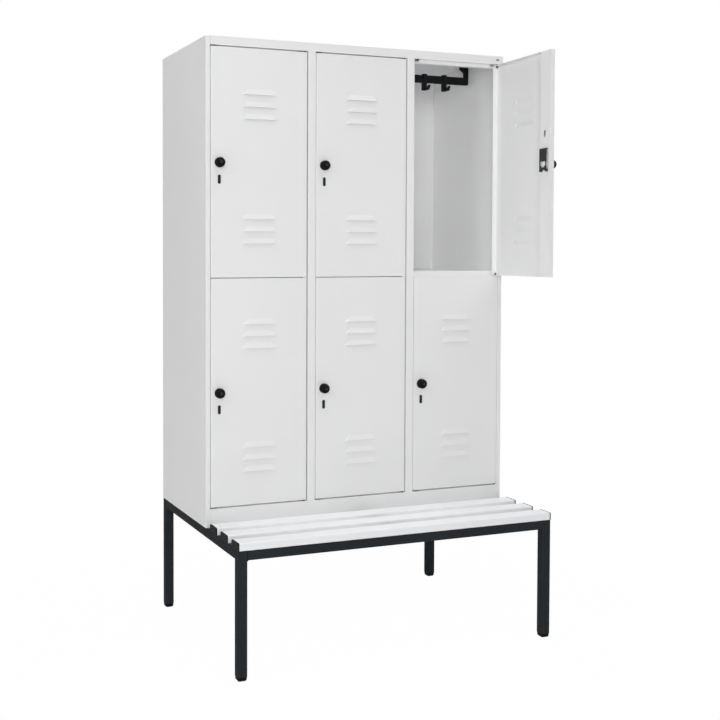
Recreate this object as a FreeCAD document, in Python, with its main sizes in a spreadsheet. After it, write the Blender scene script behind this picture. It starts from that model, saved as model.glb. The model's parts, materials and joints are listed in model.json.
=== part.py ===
# Double-tier locker with bench: three columns of two doors over a seat on a square-tube base.
# x runs across the width from its centre, y from front to back, z up from the floor.
# Millimetres and degrees. The upper right door stands open.
import math
import os

import FreeCAD
import Part
import Sketcher

doc = FreeCAD.newDocument("LockerWithBench")
sheet = doc.addObject("Spreadsheet::Sheet", "Sizes")
sheet_rows = []


class Formula:
    """A sheet formula together with the number that it gives now."""

    def __init__(self, text, number):
        self.text = text
        self.number = number

    def __add__(self, other):
        return combine(self, "+", other, lambda a, b: a + b)

    def __radd__(self, other):
        return combine(other, "+", self, lambda a, b: a + b)

    def __sub__(self, other):
        return combine(self, "-", other, lambda a, b: a - b)

    def __rsub__(self, other):
        return combine(other, "-", self, lambda a, b: a - b)

    def __mul__(self, other):
        return combine(self, "*", other, lambda a, b: a * b)

    def __rmul__(self, other):
        return combine(other, "*", self, lambda a, b: a * b)

    def __truediv__(self, other):
        return combine(self, "/", other, lambda a, b: a / b)

    def __neg__(self):
        return -1 * self


def formula(item):
    return item if isinstance(item, Formula) else Formula(repr(float(item)), float(item))


def combine(left, sign, right, work):
    left, right = formula(left), formula(right)
    return Formula("(%s %s %s)" % (left.text, sign, right.text), work(left.number, right.number))


def add_row(name, content, number):
    sheet_rows.append(name)
    row = len(sheet_rows)
    sheet.set("A%d" % row, name)
    sheet.set("B%d" % row, content)
    sheet.setAlias("B%d" % row, name)
    return Formula("Sizes." + name, number)


def drive(name, number):
    return add_row(name, str(number), float(number))


def derive(name, worked):
    return add_row(name, "=" + worked.text.replace("Sizes.", ""), worked.number)


# Carcass
carcass_width = 1200.0
carcass_depth = 500.0
carcass_height = 1700.0
base_height = 425.0
sheet_wall = 1.0
bend_inside = 1.0
stile_face = 16.5
post_face = 33.0
post_set_in = 3.5
header_face = 30.0
plinth_face = 65.0
rebate_depth = 20.0
header_lip = 12.0
header_box = 22.0
floor_lip = 18.0
relief_width = 28.0
relief_height = 8.0
relief_land = 4.0
rear_flange = 15.0
shelf_face = 36.0
weld_gap = 0.2

# Doors and hinges
door_side_gap = 2.0
door_end_gap = 3.0
door_head_gap = 5.0
door_thickness = 18.0
open_angle = 88.0
hinge_inset = 6.0
hinge_setback = 6.0
pin_diameter = 5.0
pin_reach = 9.0
pin_clearance = 0.1
pin_head_diameter = 9.0
pin_head_height = 2.0
plate_width = 15.0
plate_play = 0.4
louvre_width = 122.0
louvre_top_width = 94.0
louvre_height = 18.5
louvre_rise = 4.2
louvre_pitch = 42.5
upper_louvre = 152.5
lower_louvre = 280.0
channel_width = 58.0
channel_foot = 10.0
access_width = 10.0
access_length = 24.0
access_rise = 108.0

# Lock
knob_inset = 31.0
knob_diameter = 35.0
knob_height = 28.0
knob_gap = 0.3
dimple_diameter = 11.0
dimple_depth = 2.5
spindle_diameter = 8.0
slot_drop = 58.0
slot_width = 11.0
slot_length = 32.0
slot_fit = 0.1
slot_rim = 2.0
insert_depth = 5.0
insert_proud = 0.6
case_width = 40.0
case_above = 55.0
case_below = 26.0
case_depth = 8.0
case_wall = 1.5
prong_length = 7.0
prong_width = 10.0
prong_slant = 3.0
window_width = 30.0
window_above = 9.5
window_below = 11.5
window_slant = 8.0
hub_diameter = 34.0
hub_thickness = 3.6
hub_play = 0.5
lever_length = 44.0
lever_width = 12.0
lever_tip = 3.0
lever_thickness = 2.5
lever_clearance = 0.6
screw_diameter = 8.0
screw_height = 1.4

# Coat rails and hooks
rail_height = 30.0
rail_thickness = 10.0
rail_drop = 44.0
rail_setback = 240.0
rail_fit = 0.2
rail_round = 7.0
bracket_width = 18.0
bracket_foot = 36.0
bracket_foot_height = 12.0
bracket_flare = 14.0
hook_pitch = 90.0
hook_width = 15.0
hook_wall = 3.5
hook_crown = 5.0
hook_drop = 29.0
hook_reach = 36.0
hook_throat = 16.0
hook_arm = 7.0
hook_heel = 4.0
hook_tip = 17.0
hook_tip_depth = 7.0
hook_tip_width = 6.0
hook_fit = 0.3
hook_round = 2.5

# Base and bench
bench_reach = 310.0
tube_side = 33.0
tube_wall = 2.0
tube_round = 4.0
foot_height = 14.0
foot_corner = 8.0
foot_round = 7.8
spigot_length = 20.0
spigot_fit = 0.2
slat_depth = 60.0
slat_height = 25.0
slat_gap = 44.0
slat_wall = 3.0
slat_round = 4.0
cap_thickness = 4.5
cap_plug = 12.0
cap_fit = 0.2

# Each plain number above becomes a row of the sheet, and its name then stands for that row
for size_name, size_number in list(globals().items()):
    if isinstance(size_number, float):
        globals()[size_name] = drive(size_name, size_number)

# Sizes worked out from those
half_width = derive("half_width", carcass_width / 2)
carcass_top = derive("carcass_top", base_height + carcass_height)
roof_underside = derive("roof_underside", carcass_top - sheet_wall)
inner_depth = derive("inner_depth", carcass_depth - 2 * sheet_wall)
bend_outside = derive("bend_outside", bend_inside + sheet_wall)
opening_width = derive("opening_width", (carcass_width - 2 * stile_face - 2 * post_face) / 3)
column_pitch = derive("column_pitch", opening_width + post_face)
opening_bottom = derive("opening_bottom", base_height + plinth_face)
opening_top = derive("opening_top", carcass_top - header_face)
header_bottom = derive("header_bottom", opening_top - header_lip)
header_back = derive("header_back", rebate_depth + header_box)
floor_top = derive("floor_top", opening_bottom + floor_lip)
middle_gap = derive("middle_gap", (opening_bottom + opening_top) / 2)
shelf_top = derive("shelf_top", middle_gap + shelf_face / 2)
shelf_bottom = derive("shelf_bottom", middle_gap - shelf_face / 2)
door_width = derive("door_width", opening_width - 2 * door_side_gap)
door_height = derive("door_height", (opening_top - opening_bottom - 2 * door_head_gap - door_end_gap) / 2)
swing_reach = derive("swing_reach", door_width - hinge_inset - hinge_setback)
front_y = derive("front_y", (swing_reach - carcass_depth) / 2)
hinge_offset = derive("hinge_offset", door_width / 2 - hinge_inset)
pin_radius = derive("pin_radius", pin_diameter / 2)
lock_edge = derive("lock_edge", hinge_inset - door_width)
skin_face = derive("skin_face", -hinge_setback)
skin_back = derive("skin_back", sheet_wall - hinge_setback)
door_back = derive("door_back", door_thickness - hinge_setback)
knob_x = derive("knob_x", lock_edge + knob_inset)
knob_z = derive("knob_z", door_height / 2)
louvre_x = derive("louvre_x", hinge_inset - door_width / 2)
lever_face = derive("lever_face", rebate_depth - hinge_setback + lever_clearance)
notch_top = derive("notch_top", prong_length - case_below)
slat_pitch = derive("slat_pitch", slat_depth + slat_gap)
tube_bore = derive("tube_bore", tube_side - 2 * tube_wall)

zero = formula(0)
columns = {"left": -1, "middle": 0, "right": 1}
tiers = {"upper": middle_gap + door_end_gap / 2, "lower": opening_bottom + door_head_gap}
ceilings = {"upper": roof_underside, "lower": shelf_top - sheet_wall}
ceiling_flanges = {"upper": zero, "lower": sheet_wall}
compass = {"+x": (1, 0), "-x": (-1, 0), "+y": (0, 1), "-y": (0, -1)}
nodes = {}
doc.recompute()


# Bodies, sketches and features
def new_body(label):
    body = doc.addObject("PartDesign::Body", label)
    body.Label = label
    return body


def bind(thing, path, worked):
    thing.setExpression(path, formula(worked).text)


def place(thing, x=zero, y=front_y, z=zero, turn=None):
    if turn is not None:
        upright = FreeCAD.Vector(0, 0, 1)
        thing.Placement = FreeCAD.Placement(FreeCAD.Vector(), FreeCAD.Rotation(upright, turn.number))
        bind(thing, "Placement.Rotation.Angle", turn)
    for axis, distance in (("x", x), ("y", y), ("z", z)):
        bind(thing, "Placement.Base." + axis, distance)


def origin_feature(body, role):
    return next(feature for feature in body.Origin.OriginFeatures if feature.Role == role)


def new_sketch(body, name, role, level=zero, shift_x=None, shift_y=None):
    sketch = body.newObject("Sketcher::SketchObject", name)
    sketch.AttachmentSupport = [(origin_feature(body, role), "")]
    sketch.MapMode = "FlatFace"
    bind(sketch, "AttachmentOffset.Base.z", level)
    for axis, shift in (("x", shift_x), ("y", shift_y)):
        if shift is not None:
            bind(sketch, "AttachmentOffset.Base." + axis, shift)
    return sketch


def limit(sketch, kind, places, worked):
    index = sketch.addConstraint(Sketcher.Constraint(kind, *places, formula(worked).number))
    bind(sketch, "Constraints[%d]" % index, worked)


def pin_point(sketch, geometry, point, x, y):
    limit(sketch, "DistanceX", (-1, 1, geometry, point), x)
    limit(sketch, "DistanceY", (-1, 1, geometry, point), y)


def vector(x, y):
    return FreeCAD.Vector(formula(x).number, formula(y).number, 0)


def add_outline(sketch, corners):
    first = sketch.GeometryCount
    count = len(corners)
    for index in range(count):
        start, end = corners[index], corners[(index + 1) % count]
        sketch.addGeometry(Part.LineSegment(vector(*start), vector(*end)), False)
    for index in range(count):
        follower = first + (index + 1) % count
        sketch.addConstraint(Sketcher.Constraint("Coincident", first + index, 2, follower, 1))
    for index, (x, y) in enumerate(corners):
        pin_point(sketch, first + index, 1, x, y)


def rectangle(left, bottom, right, top):
    return [(left, bottom), (right, bottom), (right, top), (left, top)]


def add_circle(sketch, x, y, diameter):
    radius = diameter / 2
    index = sketch.addGeometry(Part.Circle(vector(x, y), FreeCAD.Vector(0, 0, 1), radius.number), False)
    pin_point(sketch, index, 3, x, y)
    limit(sketch, "Radius", (index,), radius)


def add_slot(sketch, x, y, width, length):
    radius = width / 2
    half_run = (length - width) / 2
    upright = FreeCAD.Vector(0, 0, 1)
    half_turn = math.pi
    ends = []
    for centre_y, start in ((y + half_run, 0.0), (y - half_run, half_turn)):
        circle = Part.Circle(vector(x, centre_y), upright, radius.number)
        ends.append(sketch.addGeometry(Part.ArcOfCircle(circle, start, start + half_turn), False))
    top, bottom = ends
    low, high = y - half_run, y + half_run
    left = sketch.addGeometry(Part.LineSegment(vector(x - radius, high), vector(x - radius, low)), False)
    right = sketch.addGeometry(Part.LineSegment(vector(x + radius, low), vector(x + radius, high)), False)
    joins = ((top, 2, left, 1), (bottom, 1, left, 2), (bottom, 2, right, 1), (top, 1, right, 2))
    for arc, arc_end, line, line_end in joins:
        sketch.addConstraint(Sketcher.Constraint("Tangent", arc, arc_end, line, line_end))
    pin_point(sketch, top, 3, x, y + half_run)
    pin_point(sketch, bottom, 3, x, y - half_run)
    limit(sketch, "Radius", (top,), radius)


def folded_outline(start, moves, side):
    """Corners of a folded sheet: along its outer face, then back along the inner one."""
    outer = [start]
    for heading, length in moves:
        dx, dy = compass[heading]
        x, y = outer[-1]
        outer.append((x + dx * length if dx else x, y + dy * length if dy else y))
    normals = [(-side * compass[heading][1], side * compass[heading][0]) for heading, length in moves]
    inner = []
    for index, (x, y) in enumerate(outer):
        before = normals[max(index - 1, 0)]
        after = normals[min(index, len(normals) - 1)]
        shift = before if before == after else (before[0] + after[0], before[1] + after[1])
        inner.append((x + shift[0] * sheet_wall, y + shift[1] * sheet_wall))
    return outer + inner[::-1]


def pad(body, sketch, length, reversed_way=False, symmetric=False):
    feature = body.newObject("PartDesign::Pad", sketch.Name + "Pad")
    feature.Profile = sketch
    feature.Reversed = reversed_way
    if symmetric:
        feature.SideType = "Symmetric"
    bind(feature, "Length", length)
    return feature


def pocket(body, sketch, length=None, reversed_way=False):
    feature = body.newObject("PartDesign::Pocket", sketch.Name + "Pocket")
    feature.Profile = sketch
    feature.Reversed = reversed_way
    if length is None:
        feature.Type = "ThroughAll"
    else:
        bind(feature, "Length", length)
    return feature


def pad_outline(body, name, role, level, corners, length, reversed_way=False, symmetric=False):
    sketch = new_sketch(body, name, role, level)
    add_outline(sketch, corners)
    return pad(body, sketch, length, reversed_way, symmetric)


def round_edges(body, name, radius, wanted):
    """Fillets the body's edges for which wanted(middle, direction) is true."""
    doc.recompute()
    base = body.Tip
    picked = []
    for index, edge in enumerate(base.Shape.Edges):
        if edge.Curve.TypeId != "Part::GeomLine":
            continue
        middle = edge.valueAt((edge.FirstParameter + edge.LastParameter) / 2)
        if wanted(middle, edge.tangentAt(edge.FirstParameter)):
            picked.append("Edge%d" % (index + 1))
    fillet = body.newObject("PartDesign::Fillet", name)
    fillet.Base = (base, picked)
    bind(fillet, "Radius", radius)
    return fillet


def near(a, b):
    return abs(a - formula(b).number) < 0.01


def round_bends(body, places):
    """Rounds upright bends at (x, y, inward x, inward y): the outer face, then the inner one."""
    for name, radius, depth in (("OuterBends", bend_outside, zero), ("InnerBends", bend_inside, sheet_wall)):
        spots = [(x + depth * inward_x, y + depth * inward_y) for x, y, inward_x, inward_y in places]
        round_edges(body, name, radius, lambda middle, along: abs(along.z) > 0.99 and any(
            near(middle.x, x) and near(middle.y, y) for x, y in spots))


def add_node(name, *pieces):
    """One named sub-part: a single piece, or several that share a node."""
    if len(pieces) == 1:
        nodes[name] = pieces[0]
        return
    group = doc.addObject("Part::Compound", name)
    group.Label = name
    group.Links = list(pieces)
    nodes[name] = group


# Carcass
def make_side_panel(label, hand):
    body = new_body(label)
    outward, inward = ("+x", "-x") if hand > 0 else ("-x", "+x")
    start = (hand * (half_width - rear_flange), carcass_depth - sheet_wall)
    moves = [(outward, rear_flange), ("-y", carcass_depth - sheet_wall), (inward, stile_face),
             ("+y", rebate_depth)]
    pad_outline(body, "SideSection", "XY_Plane", base_height, folded_outline(start, moves, -hand),
                carcass_height - sheet_wall)
    stile_edge = half_width - stile_face
    round_bends(body, [(hand * half_width, zero, -hand, 1), (hand * stile_edge, zero, hand, 1)])
    place(body)
    add_node(label, body)


def make_back_panel():
    body = new_body("back_panel")
    corners = rectangle(-half_width, base_height, half_width, roof_underside)
    pad_outline(body, "BackSheet", "XZ_Plane", sheet_wall - carcass_depth, corners, sheet_wall,
                reversed_way=True)
    place(body)
    add_node("back_panel", body)


def cut_reliefs(body, bottom, level, reversed_way):
    """Small windows at both ends of each opening, in the stop lip and on into the rebate sheet."""
    lip = new_sketch(body, "LipReliefs", "XZ_Plane", -rebate_depth)
    sheet_cut = new_sketch(body, "RebateReliefs", "XY_Plane", level)
    pin_land = hinge_setback + pin_head_diameter / 2 + weld_gap
    for column in columns.values():
        for hand, land in ((-1, relief_land), (1, pin_land)):
            edge = column * column_pitch + hand * opening_width / 2
            far = edge - hand * relief_width
            add_outline(lip, rectangle(edge, bottom, far, bottom + relief_height))
            add_outline(sheet_cut, rectangle(edge, land, far, rebate_depth + sheet_wall))
    pocket(body, lip, sheet_wall)
    pocket(body, sheet_cut, sheet_wall, reversed_way)


def cut_pin_holes(body, level, reversed_way):
    sketch = new_sketch(body, "PinHoles", "XY_Plane", level)
    for column in columns.values():
        add_circle(sketch, column * column_pitch + hinge_offset, hinge_setback, pin_diameter)
    pocket(body, sketch, sheet_wall, reversed_way)


def make_roof():
    body = new_body("roof_panel")
    start = (header_back, roof_underside - weld_gap)
    moves = [("-y", roof_underside - weld_gap - header_bottom), ("-x", header_box), ("+y", header_lip),
             ("-x", rebate_depth), ("+y", header_face), ("+x", carcass_depth)]
    pad_outline(body, "HeaderSection", "YZ_Plane", zero, folded_outline(start, moves, -1),
                carcass_width - 2 * stile_face, symmetric=True)
    cut_reliefs(body, opening_top - relief_height, opening_top, reversed_way=True)
    cut_pin_holes(body, opening_top, reversed_way=True)
    pad_outline(body, "TopSheet", "XY_Plane", roof_underside,
                rectangle(-half_width, zero, half_width, carcass_depth), sheet_wall)
    place(body)
    add_node("roof_panel", body)


def make_floor():
    body = new_body("floor_panel")
    weld_line = floor_top - sheet_wall - weld_gap
    start = (header_back, weld_line)
    moves = [("-y", weld_line - base_height), ("-x", header_back), ("+y", plinth_face),
             ("+x", rebate_depth), ("+y", floor_lip),
             ("+x", inner_depth - rebate_depth)]
    pad_outline(body, "PlinthSection", "YZ_Plane", zero, folded_outline(start, moves, -1),
                carcass_width - 2 * stile_face, symmetric=True)
    cut_reliefs(body, opening_bottom, opening_bottom, reversed_way=False)
    cut_pin_holes(body, opening_bottom, reversed_way=False)
    reach = half_width - sheet_wall
    pad_outline(body, "FloorSheet", "XY_Plane", floor_top - sheet_wall,
                rectangle(-reach, rebate_depth, reach, inner_depth), sheet_wall)
    place(body)
    add_node("floor_panel", body)


def make_partition(label, hand):
    centre = hand * column_pitch / 2
    wall = new_body(label + "_wall")
    corners = [(sheet_wall, floor_top), (carcass_depth - sheet_wall, floor_top),
               (carcass_depth - sheet_wall, roof_underside), (header_back, roof_underside),
               (header_back, header_bottom), (sheet_wall, header_bottom)]
    pad_outline(wall, "WallSheet", "YZ_Plane", zero, corners, sheet_wall, symmetric=True)
    post = new_body(label + "_post")
    edge = post_face / 2
    hinge_edge = post_set_in - edge
    moves = [("-y", rebate_depth), ("-x", post_face - post_set_in), ("+y", rebate_depth)]
    outline = folded_outline((edge, rebate_depth), moves, -1)
    pad_outline(post, "PostSection", "XY_Plane", opening_bottom, outline, opening_top - opening_bottom)
    round_bends(post, [(edge, zero, -1, 1), (hinge_edge, zero, 1, 1)])
    for body in (wall, post):
        place(body, x=centre)
    add_node(label, wall, post)


def compartment_sides(column):
    """Left and right faces of a column's inside."""
    left = column * column_pitch - column_pitch / 2 + sheet_wall / 2
    right = column * column_pitch + column_pitch / 2 - sheet_wall / 2
    if column == -1:
        left = sheet_wall - half_width
    if column == 1:
        right = half_width - sheet_wall
    return left, right


def make_tier_shelves():
    shelves = []
    for name, column in columns.items():
        body = new_body("tier_shelf_" + name)
        left, right = compartment_sides(column)
        outline = rectangle(left, rebate_depth, right, inner_depth)
        pad_outline(body, "ShelfBlock", "XY_Plane", shelf_bottom, outline, shelf_face)
        sketch = new_sketch(body, "ShelfHollow", "XY_Plane", shelf_bottom)
        add_outline(sketch, rectangle(left + sheet_wall, rebate_depth + sheet_wall,
                                      right - sheet_wall, inner_depth - sheet_wall))
        pocket(body, sketch, shelf_face - sheet_wall, reversed_way=True)
        place(body)
        shelves.append(body)
    add_node("tier_shelves", *shelves)


# Hinges
def make_pin(label, column, level, parts):
    """A stepped pin from (bottom, top, diameter) steps about its own level."""
    body = new_body(label)
    for index, (bottom, top, diameter) in enumerate(parts):
        sketch = new_sketch(body, "Step%d" % index, "XY_Plane", bottom)
        add_circle(sketch, zero, zero, diameter)
        pad(body, sketch, top - bottom)
    place(body, column * column_pitch + hinge_offset, front_y + hinge_setback, level)
    return body


def make_hinges():
    pins, plates = [], []
    reach = door_head_gap + pin_reach
    middle_reach = door_end_gap / 2 + pin_reach
    head_far = sheet_wall + pin_head_height
    collar = door_head_gap - plate_play / 2
    for name, column in columns.items():
        pins.append(make_pin("top_pin_" + name, column, opening_top,
                             [(-reach, sheet_wall, pin_diameter), (sheet_wall, head_far, pin_head_diameter)]))
        pins.append(make_pin("middle_pin_" + name, column, middle_gap,
                             [(-middle_reach, middle_reach, pin_diameter)]))
        pins.append(make_pin("bottom_pin_" + name, column, opening_bottom,
                             [(-head_far, -sheet_wall, pin_head_diameter), (-sheet_wall, reach, pin_diameter),
                              (zero, collar, pin_head_diameter)]))
        plate = new_body("hinge_plate_" + name)
        right = hinge_inset + door_side_gap - plate_play
        thickness = door_end_gap - 2 * plate_play
        sketch = new_sketch(plate, "PlateOutline", "XY_Plane", -thickness / 2)
        add_outline(sketch, rectangle(right - plate_width, sheet_wall - hinge_setback,
                                      right, rebate_depth - hinge_setback))
        add_circle(sketch, zero, zero, pin_diameter)
        pad(plate, sketch, thickness)
        place(plate, column * column_pitch + hinge_offset, front_y + hinge_setback, middle_gap)
        plates.append(plate)
    add_node("hinge_pins", *pins)
    add_node("hinge_plates", *plates)


# Doors: each piece is drawn about the hinge axis, with z from the door's lower edge
def hang(body, tier, column):
    turn = open_angle if (tier, column) == ("upper", "right") else None
    place(body, columns[column] * column_pitch + hinge_offset, front_y + hinge_setback, tiers[tier], turn)


def add_wedge(body, kind, name, bottom, sizes):
    """A louvre wedge: sizes are half widths and outward faces at its lower and upper edge."""
    low_half, low_face, high_half, high_face, back = sizes
    wedge = body.newObject("PartDesign::%sWedge" % kind, name)
    upright = FreeCAD.Rotation(FreeCAD.Vector(1, 0, 0), 90)
    wedge.Placement = FreeCAD.Placement(FreeCAD.Vector(), upright)
    bind(wedge, "Placement.Base.x", louvre_x)
    bind(wedge, "Placement.Base.z", bottom)
    for path, worked in (("Xmin", -low_half), ("Xmax", low_half), ("X2min", -high_half), ("X2max", high_half),
                         ("Ymin", zero), ("Ymax", louvre_height), ("Zmin", -back), ("Zmax", -low_face),
                         ("Z2min", -back), ("Z2max", -high_face)):
        bind(wedge, path, worked)
    return wedge


def add_louvres(body, name, lowest):
    """Three pressed hoods, open at the lower edge and flush with the skin at the upper edge."""
    low_half, high_half = louvre_width / 2, louvre_top_width / 2
    hood = add_wedge(body, "Additive", name + "Hood", lowest,
                     (low_half, skin_face - louvre_rise, high_half, skin_face, skin_face + sheet_wall / 2))
    slit = add_wedge(body, "Subtractive", name + "Slit", lowest,
                     (low_half - sheet_wall, skin_back - louvre_rise, high_half - sheet_wall, skin_back,
                      skin_back + sheet_wall / 2))
    doc.recompute()
    pattern = body.newObject("PartDesign::LinearPattern", name + "Row")
    pattern.Originals = [hood, slit]
    pattern.Direction = (origin_feature(body, "Z_Axis"), [""])
    pattern.Occurrences = 3
    bind(pattern, "Length", 2 * louvre_pitch)
    body.Tip = pattern
    doc.recompute()


def make_leaf(label):
    body = new_body(label + "_pan")
    moves = [("-y", door_thickness), ("-x", door_width), ("+y", door_thickness)]
    outline = folded_outline((hinge_inset, door_back), moves, -1)
    pad_outline(body, "LeafSection", "XY_Plane", zero, outline, door_height)
    round_bends(body, [(hinge_inset, skin_face, -1, 1), (lock_edge, skin_face, 1, 1)])
    flange = rectangle(lock_edge + sheet_wall, skin_back, hinge_inset - sheet_wall, door_back)
    for name, level in (("BottomFlange", zero), ("TopFlange", door_height - sheet_wall)):
        pad_outline(body, name, "XY_Plane", level, flange, sheet_wall)
    sketch = new_sketch(body, "HingeHoles", "XY_Plane")
    add_circle(sketch, zero, zero, pin_diameter + 2 * pin_clearance)
    pocket(body, sketch, reversed_way=True)
    sketch = new_sketch(body, "LockHoles", "XZ_Plane")
    add_circle(sketch, knob_x, knob_z, spindle_diameter + 2 * pin_clearance)
    add_slot(sketch, knob_x, knob_z - slot_drop, slot_width, slot_length)
    pocket(body, sketch, hinge_setback, reversed_way=True)
    add_louvres(body, "Upper", knob_z + upper_louvre)
    add_louvres(body, "Lower", knob_z - lower_louvre)
    return body


def make_lock_channel(label):
    body = new_body(label + "_channel")
    start = (lock_edge + sheet_wall, door_back)
    moves = [("+x", channel_width - sheet_wall), ("-y", door_thickness - 2 * sheet_wall),
             ("+x", channel_foot)]
    pad_outline(body, "ChannelSection", "XY_Plane", sheet_wall, folded_outline(start, moves, -1),
                door_height - 2 * sheet_wall)
    sketch = new_sketch(body, "ChannelHoles", "XZ_Plane", -door_back)
    add_circle(sketch, knob_x, knob_z, spindle_diameter + 2 * pin_clearance)
    add_slot(sketch, knob_x, knob_z + access_rise, access_width, access_length)
    pocket(body, sketch, sheet_wall, reversed_way=True)
    return body


def make_lock_case(label):
    body = new_body(label + "_cover")
    half, prong = case_width / 2, case_width / 2 - prong_width
    foot, notch = knob_z - case_below, knob_z + notch_top
    corners = [(knob_x - half, foot), (knob_x - prong - prong_slant, foot), (knob_x - prong, notch),
               (knob_x + prong, notch), (knob_x + prong + prong_slant, foot), (knob_x + half, foot),
               (knob_x + half, knob_z + case_above), (knob_x - half, knob_z + case_above)]
    pad_outline(body, "CaseOutline", "XZ_Plane", -door_back, corners, case_depth, reversed_way=True)
    hub_room = hub_diameter / 2 + hub_play
    sketch = new_sketch(body, "CaseHollow", "XZ_Plane", -door_back)
    add_outline(sketch, rectangle(knob_x - half - case_wall, knob_z - hub_room,
                                  knob_x + half - case_wall, knob_z + case_above - case_wall))
    pocket(body, sketch, case_depth - case_wall)
    sketch = new_sketch(body, "HubWindow", "XZ_Plane", -door_back)
    side = window_width / 2
    add_outline(sketch, [(knob_x - side, knob_z + window_above),
                         (knob_x - side, knob_z + window_slant - window_below),
                         (knob_x + window_slant - side, knob_z - window_below),
                         (knob_x + side - window_slant, knob_z - window_below),
                         (knob_x + side, knob_z + window_slant - window_below),
                         (knob_x + side, knob_z + window_above)])
    pocket(body, sketch)
    return body


def make_slot_insert(label):
    body = new_body(label + "_insert")
    middle = knob_z - slot_drop
    front = skin_face - insert_proud
    sketch = new_sketch(body, "InsertOutline", "XZ_Plane", -front)
    add_slot(sketch, knob_x, middle, slot_width - 2 * slot_fit, slot_length - 2 * slot_fit)
    pad(body, sketch, insert_depth, reversed_way=True)
    sketch = new_sketch(body, "InsertSlot", "XZ_Plane", -front)
    add_slot(sketch, knob_x, middle, slot_width - 2 * slot_rim, slot_length - 2 * slot_rim)
    pocket(body, sketch, insert_depth - sheet_wall)
    return body


def make_turn_knob(label):
    body = new_body(label)
    sketch = new_sketch(body, "KnobSection", "XY_Plane", knob_z, shift_x=knob_x)
    radius = knob_diameter / 2
    base = skin_face - knob_gap
    shoulder = skin_face - knob_height + radius
    top = skin_face - knob_height
    shaft = spindle_diameter / 2
    corners = [(zero, top), (zero, lever_face), (shaft, lever_face), (shaft, base), (radius, base),
               (radius, shoulder)]
    for start, end in zip(corners, corners[1:]):
        sketch.addGeometry(Part.LineSegment(vector(*start), vector(*end)), False)
    circle = Part.Circle(vector(zero, shoulder), FreeCAD.Vector(0, 0, 1), radius.number)
    dome = sketch.addGeometry(Part.ArcOfCircle(circle, -math.pi / 2, 0.0), False)
    last = len(corners) - 2
    for index in range(last):
        sketch.addConstraint(Sketcher.Constraint("Coincident", index, 2, index + 1, 1))
    sketch.addConstraint(Sketcher.Constraint("Coincident", last, 2, dome, 2))
    sketch.addConstraint(Sketcher.Constraint("Coincident", dome, 1, 0, 1))
    for index, (x, y) in enumerate(corners[:-1]):
        pin_point(sketch, index, 1, x, y)
    pin_point(sketch, dome, 3, zero, shoulder)
    limit(sketch, "DistanceY", (-1, 1, last, 2), shoulder)
    turned = body.newObject("PartDesign::Revolution", "KnobTurned")
    turned.Profile = sketch
    turned.ReferenceAxis = (sketch, ["V_Axis"])
    turned.Angle = 360
    dimple = new_sketch(body, "KnobDimple", "XZ_Plane", knob_height - skin_face)
    add_circle(dimple, knob_x, knob_z, dimple_diameter)
    pocket(body, dimple, dimple_depth)
    return body


def make_latch_lever(label):
    body = new_body(label)
    hub_face = lever_face + hub_thickness
    for name, diameter, level, length in (("Hub", hub_diameter, lever_face, hub_thickness),
                                          ("Screw", screw_diameter, hub_face, screw_height)):
        sketch = new_sketch(body, name, "XZ_Plane", -level)
        add_circle(sketch, knob_x, knob_z, diameter)
        pad(body, sketch, length, reversed_way=True)
        if name == "Hub":
            half, tip = lever_width / 2, knob_z + lever_length
            corners = [(knob_x - half, knob_z), (knob_x + half, knob_z), (knob_x + half, tip - lever_tip),
                       (knob_x + half - lever_tip, tip), (knob_x + lever_tip - half, tip),
                       (knob_x - half, tip - lever_tip)]
            pad_outline(body, "Arm", "XZ_Plane", -lever_face, corners, lever_thickness, reversed_way=True)
    return body


def make_door(tier, column):
    place_name = "_%s_%s" % (tier, column)
    leaf = make_leaf("door" + place_name)
    channel = make_lock_channel("door" + place_name)
    cover = make_lock_case("lock_case" + place_name)
    insert = make_slot_insert("lock_case" + place_name)
    knob = make_turn_knob("turn_knob" + place_name)
    lever = make_latch_lever("latch_lever" + place_name)
    for body in (leaf, channel, cover, insert, knob, lever):
        hang(body, tier, column)
    add_node("door" + place_name, leaf, channel)
    add_node("lock_case" + place_name, cover, insert)
    add_node("turn_knob" + place_name, knob)
    add_node("latch_lever" + place_name, lever)


# Coat rails and hooks
def make_coat_rails():
    rails = []
    for tier, ceiling in ceilings.items():
        for name, column in columns.items():
            body = new_body("coat_rail_%s_%s" % (tier, name))
            left, right = compartment_sides(column)
            left, right = left + ceiling_flanges[tier] + rail_fit, right - ceiling_flanges[tier] - rail_fit
            upper = ceiling - rail_drop
            flare_top = ceiling - bracket_foot_height
            flare_bottom = flare_top - bracket_flare
            corners = [(left, upper - rail_height), (right, upper - rail_height), (right, ceiling),
                       (right - bracket_foot, ceiling), (right - bracket_foot, flare_top),
                       (right - bracket_width, flare_bottom), (right - bracket_width, upper),
                       (left + bracket_width, upper), (left + bracket_width, flare_bottom),
                       (left + bracket_foot, flare_top), (left + bracket_foot, ceiling), (left, ceiling)]
            pad_outline(body, "RailOutline", "XZ_Plane", -rail_setback, corners, rail_thickness,
                        symmetric=True)
            low = upper - rail_height
            round_edges(body, "RailRounding", rail_round, lambda middle, along: abs(along.y) > 0.99
                        and near(middle.z, low) and (near(middle.x, left) or near(middle.x, right)))
            place(body)
            rails.append(body)
    add_node("coat_rails", *rails)


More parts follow.
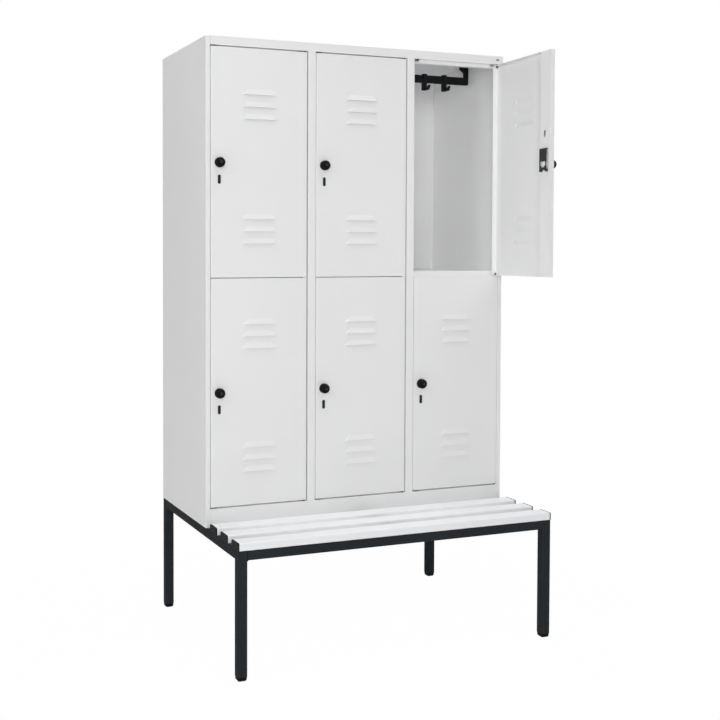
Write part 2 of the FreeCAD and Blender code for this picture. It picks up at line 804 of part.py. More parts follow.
def make_hook(tier, column, number):
    label = "coat_hook_%s_%s_%d" % (tier, column, number + 2)
    body = new_body(label)
    half_y, half_z = rail_thickness / 2 + hook_fit, rail_height / 2 + hook_fit
    side, crown = half_y + hook_wall, half_z + hook_crown
    foot = -half_z - hook_drop
    throat = foot + hook_arm
    tip, point = foot + hook_tip, -side - hook_reach
    corners = [(side, crown), (-side, crown), (-side, throat), (-side - hook_throat, throat),
               (point + hook_tip_depth, tip), (point, tip),
               (-side - hook_throat - hook_heel, foot), (side, foot)]
    sketch = new_sketch(body, "HookOutline", "YZ_Plane")
    add_outline(sketch, corners)
    add_outline(sketch, rectangle(-half_y, -half_z, half_y, half_z))
    pad(body, sketch, hook_width, symmetric=True)
    sketch = new_sketch(body, "TipTaper", "XY_Plane", crown)
    edge, half_tip = hook_width / 2, hook_tip_width / 2
    for hand in (-1, 1):
        add_outline(sketch, [(hand * edge, -side - hook_heel), (hand * hook_width, -side - hook_heel),
                             (hand * hook_width, point - hook_heel), (hand * half_tip, point - hook_heel)])
    pocket(body, sketch)
    round_edges(body, "HookRounding", hook_round, lambda middle, along: abs(along.x) > 0.99 and any(
        near(middle.y, y) and near(middle.z, z) for y, z in corners))
    level = ceilings[tier] - rail_drop - rail_height / 2
    place(body, columns[column] * column_pitch + number * hook_pitch, front_y + rail_setback, level)
    add_node(label, body)


# Base and bench
def make_tube(label, role, length, centre):
    """A square tube, its length along the plane's normal, about the point centre."""
    body = new_body(label)
    sketch = new_sketch(body, "TubeSection", role)
    for side in (tube_side, tube_bore):
        add_outline(sketch, rectangle(-side / 2, -side / 2, side / 2, side / 2))
    pad(body, sketch, length, symmetric=True)
    half = tube_side / 2
    round_edges(body, "TubeCorners", tube_round, lambda middle, along: sum(
        near(abs(part), half) for part, run in zip(middle, along) if abs(run) < 0.5) == 2)
    x, y, z = centre
    place(body, x, front_y + y, z)
    return body


def make_base():
    half = tube_side / 2
    side_x = half_width - half
    front, back = half - bench_reach, carcass_depth - half
    level = base_height - half
    legs, plugs = [], []
    for hand, side in ((-1, "left"), (1, "right")):
        for end, y in (("front", front), ("back", back)):
            legs.append(make_tube("leg_%s_%s" % (end, side), "XY_Plane", base_height - foot_height,
                                  (hand * side_x, y, (base_height + foot_height) / 2)))
            plugs.append(make_foot_plug("foot_plug_%s_%s" % (end, side), hand * side_x, y))
    add_node("base_legs", *legs)
    add_node("foot_plugs", *plugs)
    long_run = carcass_width - 2 * tube_side
    add_node("base_long_rails", *[make_tube(name + "_rail", "YZ_Plane", long_run, (zero, y, level))
                                  for name, y in (("front", front), ("middle", half), ("back", back))])
    side_run = back - front - tube_side
    add_node("base_side_rails", *[make_tube(name + "_rail", "XZ_Plane", side_run,
                                            (hand * side_x, (front + back) / 2, level))
                                  for hand, name in ((-1, "left"), (1, "right"))])
    bearer_run = bench_reach - tube_side
    add_node("slat_bearer", make_tube("slat_bearer", "XZ_Plane", bearer_run, (zero, -bearer_run / 2, level)))


def make_foot_plug(label, x, y):
    body = new_body(label)
    half, inner = tube_side / 2, tube_bore / 2 - spigot_fit
    pad_outline(body, "FootBlock", "XY_Plane", zero, rectangle(-half, -half, half, half), foot_height)
    round_edges(body, "FootCorners", foot_corner, lambda middle, along: abs(along.z) > 0.99)
    round_edges(body, "FootRounding", foot_round, lambda middle, along: near(middle.z, zero))
    outline = rectangle(-inner, -inner, inner, inner)
    pad_outline(body, "Spigot", "XY_Plane", foot_height, outline, spigot_length)
    place(body, x, front_y + y)
    return body


def slat_cells(margin):
    """The three hollows of the slat profile, each shrunk by a margin."""
    cell = (slat_depth - 4 * slat_wall) / 3
    for index in range(3):
        left = slat_wall + index * (cell + slat_wall)
        yield rectangle(left + margin, slat_wall + margin,
                        left + cell - margin, slat_height - slat_wall - margin)


def round_slat_top(body):
    round_edges(body, "TopRounding", slat_round, lambda middle, along: abs(along.x) > 0.99
                and near(middle.z, slat_height) and (near(middle.y, zero) or near(middle.y, slat_depth)))


def make_bench():
    slats, caps = [], []
    outline = rectangle(zero, zero, slat_depth, slat_height)
    for index in range(3):
        y = front_y - bench_reach + index * slat_pitch
        slat = new_body("bench_slat_%d" % (index + 1))
        sketch = new_sketch(slat, "SlatSection", "YZ_Plane")
        add_outline(sketch, outline)
        for cell in slat_cells(zero):
            add_outline(sketch, cell)
        pad(slat, sketch, carcass_width - 2 * cap_thickness, symmetric=True)
        round_slat_top(slat)
        place(slat, zero, y, base_height)
        slats.append(slat)
        for hand, side in ((-1, "left"), (1, "right")):
            cap = new_body("slat_cap_%d_%s" % (index + 1, side))
            pad_outline(cap, "CapPlate", "YZ_Plane", zero, outline, cap_thickness, reversed_way=hand < 0)
            round_slat_top(cap)
            sketch = new_sketch(cap, "CapPlugs", "YZ_Plane")
            for cell in slat_cells(cap_fit):
                add_outline(sketch, cell)
            pad(cap, sketch, cap_plug, reversed_way=hand > 0)
            place(cap, hand * (half_width - cap_thickness), y, base_height)
            caps.append(cap)
    add_node("bench_slats", *slats)
    add_node("slat_end_caps", *caps)


make_side_panel("side_panel_left", -1)
make_side_panel("side_panel_right", 1)
make_back_panel()
make_roof()
make_floor()
make_partition("partition_left", -1)
make_partition("partition_right", 1)
make_tier_shelves()
make_hinges()
for tier_name in tiers:
    for column_name in columns:
        make_door(tier_name, column_name)
make_coat_rails()
for tier_name in tiers:
    for column_name in columns:
        for hook_number in (-1, 0, 1):
            make_hook(tier_name, column_name, hook_number)
make_base()
make_bench()
doc.recompute()

# Every object and every sub-part is sound before anything is written
for thing in doc.Objects:
    if "Invalid" in thing.State or "Error" in thing.State:
        raise RuntimeError("%s failed: %s" % (thing.Label, thing.State))
for node_name, thing in nodes.items():
    if thing.Shape.isNull() or not thing.Shape.isValid() or not thing.Shape.Solids:
        raise RuntimeError("%s has no sound shape" % node_name)
os.makedirs("parts", exist_ok=True)
for node_name, thing in nodes.items():
    thing.Shape.exportStep("parts/%s.step" % node_name)
    print(node_name, len(thing.Shape.Solids), round(thing.Shape.Volume))
print(len(nodes), "nodes")
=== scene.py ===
import json
import math

import bpy
import bmesh
from mathutils import Matrix, Vector


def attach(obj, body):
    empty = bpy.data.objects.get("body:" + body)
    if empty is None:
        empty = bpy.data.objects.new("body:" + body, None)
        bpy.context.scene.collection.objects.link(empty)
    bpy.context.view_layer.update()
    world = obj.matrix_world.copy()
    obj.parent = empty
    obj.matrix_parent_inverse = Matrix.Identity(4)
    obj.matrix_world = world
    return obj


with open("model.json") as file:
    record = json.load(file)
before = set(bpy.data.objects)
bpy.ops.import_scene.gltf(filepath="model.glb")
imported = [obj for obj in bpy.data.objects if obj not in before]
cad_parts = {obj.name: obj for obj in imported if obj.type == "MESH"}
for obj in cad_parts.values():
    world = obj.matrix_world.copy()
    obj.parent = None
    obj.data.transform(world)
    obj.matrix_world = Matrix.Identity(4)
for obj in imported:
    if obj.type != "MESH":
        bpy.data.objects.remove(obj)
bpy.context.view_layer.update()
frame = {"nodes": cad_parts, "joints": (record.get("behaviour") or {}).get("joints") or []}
nodes = frame["nodes"]
scene = bpy.context.scene
scene.view_settings.view_transform = "Standard"
print("frame loaded:", len(nodes), "nodes")

tiers = ("upper", "lower")
columns = ("left", "middle", "right")
hookNumbers = (1, 2, 3)
doorTags = [tier + "_" + column for tier in tiers for column in columns]
noiseBand = (0.3, 0.7)  # where most of a noise texture's values lie


# lowest and highest place of a node along x, y and z
def span(name):
    points = [vertex.co for vertex in nodes[name].data.vertices]
    places = [[point[axis] for point in points] for axis in range(3)]
    return [(min(row), max(row)) for row in places]


# small helpers for node trees
def addNode(tree, kind, **settings):
    node = tree.nodes.new(kind)
    for key, value in settings.items():
        setattr(node, key, value)
    return node


def plug(tree, socket, value):
    if hasattr(value, "links"):
        tree.links.new(value, socket)
    else:
        socket.default_value = value


def feed(tree, node, **inputs):
    for key, value in inputs.items():
        plug(tree, node.inputs[key.replace("_", " ")], value)
    return node


def newFinish(name):
    finish = bpy.data.materials.new(name)
    finish.use_nodes = True
    tree = finish.node_tree
    shader = tree.nodes["Principled BSDF"]
    place = addNode(tree, "ShaderNodeTexCoord").outputs["Object"]
    return finish, tree, shader, place


def stretched(tree, place, scale):
    mapping = addNode(tree, "ShaderNodeMapping")
    mapping.inputs["Scale"].default_value = scale
    tree.links.new(place, mapping.inputs["Vector"])
    return mapping.outputs["Vector"]


def noise(tree, place, scale, detail=2.0, rough=0.5):
    texture = addNode(tree, "ShaderNodeTexNoise")
    feed(tree, texture, Vector=place, Scale=scale, Detail=detail, Roughness=rough)
    return texture.outputs["Fac"]


def spread(tree, source, low, high):
    remap = addNode(tree, "ShaderNodeMapRange")
    tree.links.new(source, remap.inputs["Value"])
    remap.inputs["From Min"].default_value = noiseBand[0]
    remap.inputs["From Max"].default_value = noiseBand[1]
    remap.inputs["To Min"].default_value = low
    remap.inputs["To Max"].default_value = high
    return remap.outputs["Result"]


def twoTone(tree, source, dark, light):
    ramp = addNode(tree, "ShaderNodeValToRGB")
    for element, position, tone in zip(ramp.color_ramp.elements, noiseBand, (dark, light)):
        element.position = position
        element.color = (*tone, 1)
    tree.links.new(source, ramp.inputs["Fac"])
    return ramp.outputs["Color"]


def relief(tree, shader, height, distance, strength):
    bump = addNode(tree, "ShaderNodeBump")
    bump.inputs["Distance"].default_value = distance
    bump.inputs["Strength"].default_value = strength
    tree.links.new(height, bump.inputs["Height"])
    tree.links.new(bump.outputs["Normal"], shader.inputs["Normal"])


# powder coat: a faint drift of tone, orange peel and a satin shine; grain as noise scales per metre
powderGrain = {"drift": 3.1, "blotch": 41.0, "peel": 620.0, "peelDeep": 0.0006}
powderLooks = {
    "greyDoorPowder": {"dark": (0.865, 0.866, 0.868), "light": (0.885, 0.886, 0.888),
                       "rough": (0.40, 0.50), "peel": 0.22, "shine": 0.4},
    "greyBodyPowder": {"dark": (0.865, 0.866, 0.868), "light": (0.885, 0.886, 0.888),
                       "rough": (0.42, 0.52), "peel": 0.22, "shine": 0.4},
    "anthracitePowder": {"dark": (0.0225, 0.026, 0.0300), "light": (0.030, 0.0335, 0.038),
                         "rough": (0.46, 0.60), "peel": 0.35, "shine": 0.008},
}


def powderCoat(name):
    look = powderLooks[name]
    finish, tree, shader, place = newFinish(name)
    shader.inputs["Specular IOR Level"].default_value = look["shine"]
    drift = noise(tree, place, powderGrain["drift"], detail=3.0)
    blotch = noise(tree, place, powderGrain["blotch"], detail=4.0)
    peel = noise(tree, place, powderGrain["peel"])
    tree.links.new(twoTone(tree, drift, look["dark"], look["light"]), shader.inputs["Base Color"])
    tree.links.new(spread(tree, blotch, *look["rough"]), shader.inputs["Roughness"])
    relief(tree, shader, peel, powderGrain["peelDeep"], look["peel"])
    return finish


# extruded slat plastic: fine lines run along the slat
slatLook = {"dark": (0.895, 0.902, 0.912), "light": (0.92, 0.926, 0.935), "rough": (0.42, 0.58),
            "lineScale": (1.5, 700.0, 700.0), "lineDeep": 0.0002, "lineRelief": 0.15}


def slatPlastic():
    finish, tree, shader, place = newFinish("slatPlastic")
    along = stretched(tree, place, slatLook["lineScale"])
    lines = noise(tree, along, scale=1.0, detail=4.0, rough=0.6)
    tree.links.new(twoTone(tree, lines, slatLook["dark"], slatLook["light"]), shader.inputs["Base Color"])
    tree.links.new(spread(tree, lines, *slatLook["rough"]), shader.inputs["Roughness"])
    relief(tree, shader, lines, slatLook["lineDeep"], slatLook["lineRelief"])
    return finish


# moulded plastic: eroded grain with a soft shine
mouldedGrain = {"blotch": 90.0, "deep": 0.0003, "relief": 0.3}
mouldedLooks = {
    "blackMoulded": {"dark": (0.006, 0.006, 0.007), "light": (0.011, 0.011, 0.012),
                     "rough": (0.38, 0.52), "grain": 1500.0, "shine": 0.03},
    "caseMoulded": {"dark": (0.030, 0.031, 0.033), "light": (0.042, 0.043, 0.045),
                    "rough": (0.42, 0.56), "grain": 1500.0, "shine": 0.12},
    "blackRail": {"dark": (0.007, 0.007, 0.008), "light": (0.012, 0.012, 0.013),
                  "rough": (0.45, 0.60), "grain": 1100.0, "shine": 0.14},
    "smokeMoulded": {"dark": (0.17, 0.17, 0.175), "light": (0.22, 0.22, 0.225),
                     "rough": (0.40, 0.55), "grain": 1300.0, "shine": 0.2},
    "blackGloss": {"dark": (0.003, 0.003, 0.003), "light": (0.005, 0.005, 0.005),
                   "rough": (0.14, 0.22), "grain": 700.0, "shine": 0.4},
}


def mouldedPlastic(name):
    look = mouldedLooks[name]
    finish, tree, shader, place = newFinish(name)
    shader.inputs["Specular IOR Level"].default_value = look["shine"]
    grain = noise(tree, place, look["grain"], detail=3.0)
    tree.links.new(twoTone(tree, grain, look["dark"], look["light"]), shader.inputs["Base Color"])
    blotch = noise(tree, place, mouldedGrain["blotch"], detail=3.0)
    tree.links.new(spread(tree, blotch, *look["rough"]), shader.inputs["Roughness"])
    relief(tree, shader, grain, mouldedGrain["deep"], mouldedGrain["relief"])
    return finish


# bare metal: brushed along the height, with a cool cloudy tone
metalBrush = {"scale": (900.0, 900.0, 40.0), "deep": 0.0002, "relief": 0.15}
metalLooks = {
    "zincSteel": {"dark": (0.80, 0.81, 0.82), "light": (0.90, 0.91, 0.92), "rough": (0.44, 0.60)},
    "burnishedSteel": {"dark": (0.045, 0.045, 0.047), "light": (0.08, 0.08, 0.082), "rough": (0.40, 0.55)},
}


def brushedMetal(name):
    look = metalLooks[name]
    finish, tree, shader, place = newFinish(name)
    shader.inputs["Metallic"].default_value = 1.0
    along = stretched(tree, place, metalBrush["scale"])
    brush = noise(tree, along, scale=1.0, detail=3.0)
    tree.links.new(twoTone(tree, brush, look["dark"], look["light"]), shader.inputs["Base Color"])
    tree.links.new(spread(tree, brush, *look["rough"]), shader.inputs["Roughness"])
    relief(tree, shader, brush, metalBrush["deep"], metalBrush["relief"])
    return finish


doorPowder = powderCoat("greyDoorPowder")
bodyPowder = powderCoat("greyBodyPowder")
framePowder = powderCoat("anthracitePowder")
slatFinish = slatPlastic()
blackMoulded = mouldedPlastic("blackMoulded")
caseMoulded = mouldedPlastic("caseMoulded")
blackRail = mouldedPlastic("blackRail")
blackGloss = mouldedPlastic("blackGloss")
smokeMoulded = mouldedPlastic("smokeMoulded")
zinc = brushedMetal("zincSteel")
burnished = brushedMetal("burnishedSteel")

# which finish each node of the part gets
finishOf = {
    "side_panel_left": bodyPowder, "side_panel_right": bodyPowder, "back_panel": bodyPowder,
    "roof_panel": bodyPowder, "floor_panel": bodyPowder, "partition_left": bodyPowder,
    "partition_right": bodyPowder, "tier_shelves": bodyPowder, "hinge_plates": bodyPowder,
    "hinge_pins": burnished, "coat_rails": blackRail,
    "base_legs": framePowder, "base_long_rails": framePowder, "base_side_rails": framePowder,
    "slat_bearer": framePowder, "foot_plugs": blackMoulded,
    "bench_slats": slatFinish, "slat_end_caps": blackMoulded,
}
for tag in doorTags:
    finishOf["door_" + tag] = doorPowder
    finishOf["lock_case_" + tag] = caseMoulded
    finishOf["turn_knob_" + tag] = blackMoulded
    finishOf["latch_lever_" + tag] = zinc
    for number in hookNumbers:
        finishOf["coat_hook_%s_%d" % (tag, number)] = blackRail
for name, finish in finishOf.items():
    nodes[name].data.materials.clear()
    nodes[name].data.materials.append(finish)
print("finishes set on", len(finishOf), "nodes")


# pieces that Geometry Nodes grow: a tree with named sizes, set by socket before it is first worked out
def newGroup(name, sizes):
    group = bpy.data.node_groups.new(name, "GeometryNodeTree")
    group.interface.new_socket("Geometry", in_out="INPUT", socket_type="NodeSocketGeometry")
    for key, value in sizes.items():
        kind = "NodeSocketInt" if isinstance(value, int) else "NodeSocketFloat"
        group.interface.new_socket(key, in_out="INPUT", socket_type=kind)
    group.interface.new_socket("Geometry", in_out="OUTPUT", socket_type="NodeSocketGeometry")
    return group, addNode(group, "NodeGroupInput").outputs


def closeGroup(group, instances, finish):
    realize = feed(group, addNode(group, "GeometryNodeRealizeInstances"), Geometry=instances)
    paint = feed(group, addNode(group, "GeometryNodeSetMaterial"), Geometry=realize.outputs["Geometry"])
    paint.inputs["Material"].default_value = finish
    output = addNode(group, "NodeGroupOutput")
    group.links.new(paint.outputs["Geometry"], output.inputs["Geometry"])


def growPiece(name, points, edges, group, sizes):
    seedMesh = bpy.data.meshes.new(name + "Seed")
    seedMesh.from_pydata(points, edges, [])
    piece = bpy.data.objects.new(name, seedMesh)
    scene.collection.objects.link(piece)
    grower = piece.modifiers.new("grow", "NODES")
    grower.node_group = group
    for item in group.interface.items_tree:
        if item.item_type == "SOCKET" and item.in_out == "INPUT" and item.name in sizes:
            grower[item.identifier] = sizes[item.name]
    ready = piece.evaluated_get(bpy.context.evaluated_depsgraph_get())
    plain = bpy.data.meshes.new_from_object(ready)
    piece.modifiers.remove(grower)
    piece.data = plain
    return piece


def worked(group, operation, first, second):
    node = addNode(group, "ShaderNodeMath", operation=operation)
    plug(group, node.inputs[0], first)
    plug(group, node.inputs[1], second)
    return node.outputs["Value"]


def dropped(group, geometry, level):
    spot = addNode(group, "ShaderNodeCombineXYZ")
    group.links.new(level, spot.inputs["Z"])
    move = addNode(group, "GeometryNodeTransform")
    group.links.new(geometry, move.inputs["Geometry"])
    group.links.new(spot.outputs["Vector"], move.inputs["Translation"])
    return move.outputs["Geometry"]


# base frame read off the part's own tubes: faces of legs and rails, undersides and tops
def readBase():
    sideRailX, sideRailY, sideRailZ = span("base_side_rails")
    longRailX = span("base_long_rails")[0]
    bearerX, bearerY, bearerZ = span("slat_bearer")
    tube = bearerX[1] - bearerX[0]
    return {"sideX": longRailX[1], "outerX": sideRailX[1], "frontY": sideRailY[0], "backY": sideRailY[1],
            "middleY": (bearerY[1], bearerY[1] + tube), "bearerX": bearerX[1], "tube": tube,
            "under": bearerZ[0], "top": sideRailZ[1]}


baseFrame = readBase()

# weld beads in the inside corners of the base frame and under its joints
weldBeads = {"pitch": 0.0030, "bead": 0.0022, "smallest": 0.8, "largest": 1.2, "seed": 7}
weldLay = {"off": 0.0007, "endGap": 0.0035, "beadSegments": 8, "beadRings": 5}


def frameSeams():
    off, gap = weldLay["off"], weldLay["endGap"]
    low, high = baseFrame["under"] + gap, baseFrame["top"] - gap
    under = baseFrame["under"] - off
    uprights = []
    flats = []
    for hand in (-1, 1):
        wall = hand * (baseFrame["sideX"] - off)
        for corner, inward in ((baseFrame["frontY"], 1), (baseFrame["backY"], -1)):
            inner = corner + inward * off
            uprights.append((wall, inner))
            outer = corner - inward * (baseFrame["tube"] - gap)
            flats.append(((wall, corner, under), (wall, outer, under)))
            edge = hand * (baseFrame["outerX"] - gap)
            flats.append(((hand * baseFrame["sideX"], inner, under), (edge, inner, under)))
        near, far = baseFrame["middleY"]
        uprights += [(wall, near - off), (wall, far + off)]
        beside = hand * (baseFrame["bearerX"] + off)
        uprights += [(beside, baseFrame["frontY"] + off), (beside, near - off)]
    return flats + [((x, y, low), (x, y, high)) for x, y in uprights]


def layWelds():
    group, sizes = newGroup("weldSeam", weldBeads)
    line = feed(group, addNode(group, "GeometryNodeMeshToCurve"), Mesh=sizes["Geometry"])
    steps = addNode(group, "GeometryNodeResampleCurve", mode="LENGTH")
    feed(group, steps, Curve=line.outputs["Curve"], Length=sizes["pitch"])
    bead = addNode(group, "GeometryNodeMeshUVSphere")
    feed(group, bead, Segments=weldLay["beadSegments"], Rings=weldLay["beadRings"], Radius=sizes["bead"])
    smooth = feed(group, addNode(group, "GeometryNodeSetShadeSmooth"), Geometry=bead.outputs["Mesh"])
    size = addNode(group, "FunctionNodeRandomValue", data_type="FLOAT")
    feed(group, size, Seed=sizes["seed"])
    group.links.new(sizes["smallest"], size.inputs[2])
    group.links.new(sizes["largest"], size.inputs[3])
    turn = addNode(group, "FunctionNodeRandomValue", data_type="FLOAT_VECTOR")
    feed(group, turn, Seed=sizes["seed"])
    turn.inputs[1].default_value = (math.pi, math.pi, math.pi)
    row = addNode(group, "GeometryNodeInstanceOnPoints")
    feed(group, row, Points=steps.outputs["Curve"], Instance=smooth.outputs["Geometry"])
    group.links.new(turn.outputs[0], row.inputs["Rotation"])
    group.links.new(size.outputs[1], row.inputs["Scale"])
    closeGroup(group, row.outputs["Instances"], framePowder)
    points, edges = [], []
    for start, end in frameSeams():
        edges.append((len(points), len(points) + 1))
        points += [start, end]
    welds = growPiece("frameWelds", points, edges, group, weldBeads)
    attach(welds, "carcass")
    print("frame welds:", len(edges), "seams,", len(welds.data.polygons), "faces")


# slat screws: washer and socket head under the side rails and the bearer
slatScrews = {"washer": 0.0062, "washerThick": 0.0010, "head": 0.0044, "headFoot": 0.0037,
              "headHigh": 0.0028, "socket": 0.0021, "socketDeep": 0.0016}
slatScrewLay = {"y": (-0.3345, -0.2505, -0.1465), "corners": 20, "socketSides": 6}


def drum(group, corners, radius, depth):
    node = addNode(group, "GeometryNodeMeshCylinder")
    feed(group, node, Vertices=corners, Radius=radius, Depth=depth)
    return node.outputs["Mesh"]


def driveScrews():
    group, sizes = newGroup("slatScrew", slatScrews)
    corners = slatScrewLay["corners"]
    washer = drum(group, corners, sizes["washer"], sizes["washerThick"])
    washer = dropped(group, washer, worked(group, "MULTIPLY", sizes["washerThick"], -0.5))
    tip = worked(group, "ADD", sizes["washerThick"], sizes["headHigh"])
    tip = worked(group, "MULTIPLY", tip, -1.0)
    cone = addNode(group, "GeometryNodeMeshCone")
    feed(group, cone, Vertices=corners, Radius_Top=sizes["head"], Radius_Bottom=sizes["headFoot"],
         Depth=sizes["headHigh"])
    head = dropped(group, cone.outputs["Mesh"], tip)
    socketDepth = worked(group, "MULTIPLY", sizes["socketDeep"], 2.0)
    socket = drum(group, slatScrewLay["socketSides"], sizes["socket"], socketDepth)
    socket = dropped(group, socket, tip)
    cut = addNode(group, "GeometryNodeMeshBoolean", operation="DIFFERENCE")
    group.links.new(head, cut.inputs["Mesh 1"])
    group.links.new(socket, cut.inputs["Mesh 2"])
    both = addNode(group, "GeometryNodeJoinGeometry")
    group.links.new(washer, both.inputs["Geometry"])
    group.links.new(cut.outputs["Mesh"], both.inputs["Geometry"])
    row = addNode(group, "GeometryNodeInstanceOnPoints")
    feed(group, row, Points=sizes["Geometry"], Instance=both.outputs["Geometry"])
    closeGroup(group, row.outputs["Instances"], zinc)
    side = baseFrame["outerX"] - baseFrame["tube"] / 2
    points = [(x, y, baseFrame["under"]) for x in (-side, 0.0, side) for y in slatScrewLay["y"]]
    screws = growPiece("slatScrews", points, [], group, slatScrews)
    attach(screws, "carcass")
    print("slat screws:", len(points), "heads,", len(screws.data.polygons), "faces")


mergeWithin = 1e-6  # metres


# small pieces turned or cut in mesh code
def newPiece(name, shape, finish, body):
    bmesh.ops.remove_doubles(shape, verts=shape.verts, dist=mergeWithin)
    bmesh.ops.recalc_face_normals(shape, faces=shape.faces)
    mesh = bpy.data.meshes.new(name)
    shape.to_mesh(mesh)
    shape.free()
    mesh.materials.append(finish)
    piece = bpy.data.objects.new(name, mesh)
    scene.collection.objects.link(piece)
    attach(piece, body)


# glossy cap let into each knob's crown: profile as (radius, height) from its seat, in metres
knobCap = {"seat": 0.0255, "corners": 32,
           "profile": ((0.0053, 0.0), (0.0053, 0.0009), (0.0050, 0.0014), (0.0042, 0.0018),
                       (0.0028, 0.00212), (0.0014, 0.00228))}


def turnCap(tag, joint):
    shape = bmesh.new()
    rings = []
    for radius, height in knobCap["profile"]:
        angles = [2 * math.pi * step / knobCap["corners"] for step in range(knobCap["corners"])]
        rings.append([shape.verts.new((radius * math.cos(a), radius * math.sin(a), height)) for a in angles])
    for lower, upper in zip(rings, rings[1:]):
        for step in range(knobCap["corners"]):
            after = (step + 1) % knobCap["corners"]
            shape.faces.new((lower[step], lower[after], upper[after], upper[step])).smooth = True
    shape.faces.new(rings[0][::-1])
    shape.faces.new(rings[-1]).smooth = True
    axis = Vector(joint["axis"]).normalized()
    turn = Vector((0, 0, 1)).rotation_difference(axis).to_matrix().to_4x4()
    spot = Matrix.Translation(Vector(joint["pos_m"]) + axis * knobCap["seat"])
    bmesh.ops.transform(shape, matrix=spot @ turn, verts=shape.verts)
    newPiece("knobCap_" + tag, shape, blackGloss, "latch_body_" + tag)


# plain grey plate on the header's right end
headerPlate = {"fromRight": 0.025, "fromTop": 0.0145, "wide": 0.0135, "high": 0.0060, "thick": 0.0008,
               "round": 0.0022, "chamfer": 0.0004, "cornerSteps": 5}


def cutHeaderPlate():
    shape = bmesh.new()
    roofX, roofY, roofZ = span("roof_panel")
    x, y, z = roofX[1] - headerPlate["fromRight"], roofY[0], roofZ[1] - headerPlate["fromTop"]
    levels = ((0.0, 0.0), (headerPlate["thick"] - headerPlate["chamfer"], 0.0),
              (headerPlate["thick"], headerPlate["chamfer"]))
    rings = []
    for rise, inset in levels:
        ring = []
        for quarter, (right, up) in enumerate(((1, 1), (-1, 1), (-1, -1), (1, -1))):
            centreX = right * (headerPlate["wide"] / 2 - headerPlate["round"])
            centreZ = up * (headerPlate["high"] / 2 - headerPlate["round"])
            for step in range(headerPlate["cornerSteps"]):
                angle = math.pi / 2 * (quarter + step / (headerPlate["cornerSteps"] - 1))
                reach = headerPlate["round"] - inset
                ring.append(shape.verts.new((x + centreX + reach * math.cos(angle), y - rise,
                                             z + centreZ + reach * math.sin(angle))))
        rings.append(ring)
    count = len(rings[0])
    for lower, upper in zip(rings, rings[1:]):
        for step in range(count):
            after = (step + 1) % count
            shape.faces.new((lower[step], lower[after], upper[after], upper[step]))
    shape.faces.new(rings[0])
    shape.faces.new(rings[-1])
    newPiece("headerPlate", shape, smokeMoulded, "carcass")


layWelds()
driveScrews()
for joint in frame["joints"]:
    if joint["name"].startswith("latch_turn_"):
        turnCap(joint["name"].replace("latch_turn_", ""), joint)
cutHeaderPlate()
print("knob caps and header plate made")


# floor and sky: both show white, but as light the floor is only matt and the sky dim
stageLook = {"floorReach": 30.0, "floorTone": 0.93, "fadeStart": 1.0, "fadeEnd": 2.4, "nearWhite": 0.985,
             "skyLevel": 0.16, "bounces": 12}


def cameraRays(tree):
    path = addNode(tree, "ShaderNodeLightPath")
    total = path.outputs["Is Camera Ray"]
    for name in ("Is Glossy Ray", "Is Transmission Ray"):
        add = addNode(tree, "ShaderNodeMath", operation="MAXIMUM")
        tree.links.new(total, add.inputs[0])
        tree.links.new(path.outputs[name], add.inputs[1])
        total = add.outputs["Value"]
    return total


def layFloor():
    mesh = bpy.data.meshes.new("studioFloor")
    reach = stageLook["floorReach"]
    corners = [(-reach, -reach, 0), (reach, -reach, 0), (reach, reach, 0), (-reach, reach, 0)]
    mesh.from_pydata(corners, [], [(0, 1, 2, 3)])
    floor = bpy.data.objects.new("studioFloor", mesh)
    scene.collection.objects.link(floor)
    finish = bpy.data.materials.new("paleFloor")
    finish.use_nodes = True
    tree = finish.node_tree
    tree.nodes.clear()
    tone = stageLook["floorTone"]
    matt = addNode(tree, "ShaderNodeBsdfDiffuse")
    matt.inputs["Color"].default_value = (tone, tone, tone, 1)
    white = addNode(tree, "ShaderNodeEmission")
    place = addNode(tree, "ShaderNodeTexCoord").outputs["Object"]
    length = addNode(tree, "ShaderNodeVectorMath", operation="LENGTH")
    tree.links.new(place, length.inputs[0])
    fade = addNode(tree, "ShaderNodeMapRange", interpolation_type="SMOOTHSTEP")
    tree.links.new(length.outputs["Value"], fade.inputs["Value"])
    fade.inputs["From Min"].default_value = stageLook["fadeStart"]
    fade.inputs["From Max"].default_value = stageLook["fadeEnd"]
    fade.inputs["To Min"].default_value = stageLook["nearWhite"]
    share = addNode(tree, "ShaderNodeMath", operation="MULTIPLY")
    tree.links.new(fade.outputs["Result"], share.inputs[0])
    tree.links.new(cameraRays(tree), share.inputs[1])
    mix = addNode(tree, "ShaderNodeMixShader")
    tree.links.new(share.outputs["Value"], mix.inputs["Fac"])
    tree.links.new(matt.outputs["BSDF"], mix.inputs[1])
    tree.links.new(white.outputs["Emission"], mix.inputs[2])
    output = addNode(tree, "ShaderNodeOutputMaterial")
    tree.links.new(mix.outputs["Shader"], output.inputs["Surface"])
    mesh.materials.append(finish)


def lightSky():
    world = bpy.data.worlds.new("studioSky")
    scene.world = world
    scene.cycles.diffuse_bounces = stageLook["bounces"]  # pale compartments stay too dark with only a few
    world.use_nodes = True
    tree = world.node_tree
    back = tree.nodes["Background"]
    level = addNode(tree, "ShaderNodeMapRange")
    tree.links.new(cameraRays(tree), level.inputs["Value"])
    level.inputs["To Min"].default_value = stageLook["skyLevel"]
    level.inputs["To Max"].default_value = 1.0
    tree.links.new(level.outputs["Result"], back.inputs["Strength"])
    back.inputs["Color"].default_value = (1, 1, 1, 1)


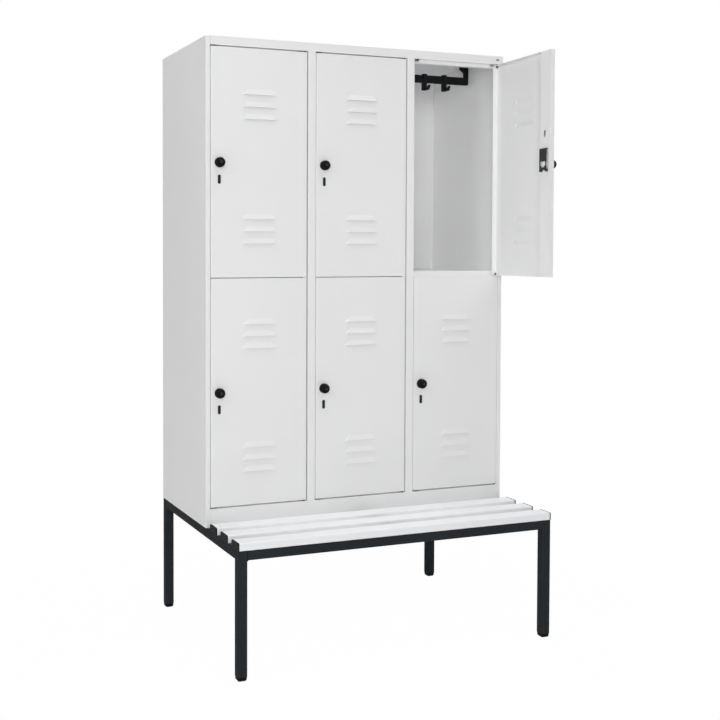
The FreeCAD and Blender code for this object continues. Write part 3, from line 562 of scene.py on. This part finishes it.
# lamps: places and aims in metres; the last two are for the back and the right side
lamps = {
    "mainSoftbox": {"at": (-2.6, -5.5, 2.4), "aim": (0, 0, 1.4), "size": 2.6, "watts": 137},
    "leftSoftbox": {"at": (-5.2, -1.8, 4.2), "aim": (0, 0.1, 1.9), "size": 2.4, "watts": 66},
    "topBank": {"at": (0.2, -1.2, 8.0), "aim": (0, -0.1, 0.4), "size": 3.6, "watts": 215},
    "backSoftbox": {"at": (0.3, 6.4, 2.6), "aim": (0, 0.2, 1.2), "size": 1.6, "watts": 120},
    "sideSoftbox": {"at": (6.2, 1.6, 2.6), "aim": (0.2, 0.1, 1.3), "size": 2.4, "watts": 72},
}


def hangLamps():
    for name, lamp in lamps.items():
        light = bpy.data.lights.new(name, "AREA")
        light.shape = "SQUARE"
        light.size = lamp["size"]
        light.energy = lamp["watts"]
        holder = bpy.data.objects.new(name, light)
        holder.location = lamp["at"]
        look = Vector(lamp["aim"]) - Vector(lamp["at"])
        holder.rotation_euler = look.to_track_quat("-Z", "Y").to_euler()
        scene.collection.objects.link(holder)


# camera: fitted to the photo's edges, in metres and radians; focal, centre and image in pixels
cameraFit = {"at": (-1.834772, -3.572678, 1.383039), "yaw": 0.350119, "pitch": 0.030681,
             "focal": 1077.335, "centre": (217.425, 285.0), "image": 720.0,
             "sensor": 36.0, "farthest": 200.0}


def setCamera():
    data = bpy.data.cameras.new("photoCamera")
    data.sensor_width = cameraFit["sensor"]
    data.lens = cameraFit["focal"] / cameraFit["image"] * cameraFit["sensor"]
    half = cameraFit["image"] / 2
    data.shift_x = (half - cameraFit["centre"][0]) / cameraFit["image"]
    data.shift_y = (cameraFit["centre"][1] - half) / cameraFit["image"]
    data.clip_end = cameraFit["farthest"]
    holder = bpy.data.objects.new("photoCamera", data)
    holder.location = cameraFit["at"]
    holder.rotation_euler = (math.pi / 2 - cameraFit["pitch"], 0, -cameraFit["yaw"])
    scene.collection.objects.link(holder)
    scene.camera = holder


layFloor()
lightSky()
hangLamps()
setCamera()
print("stage, light and camera set")
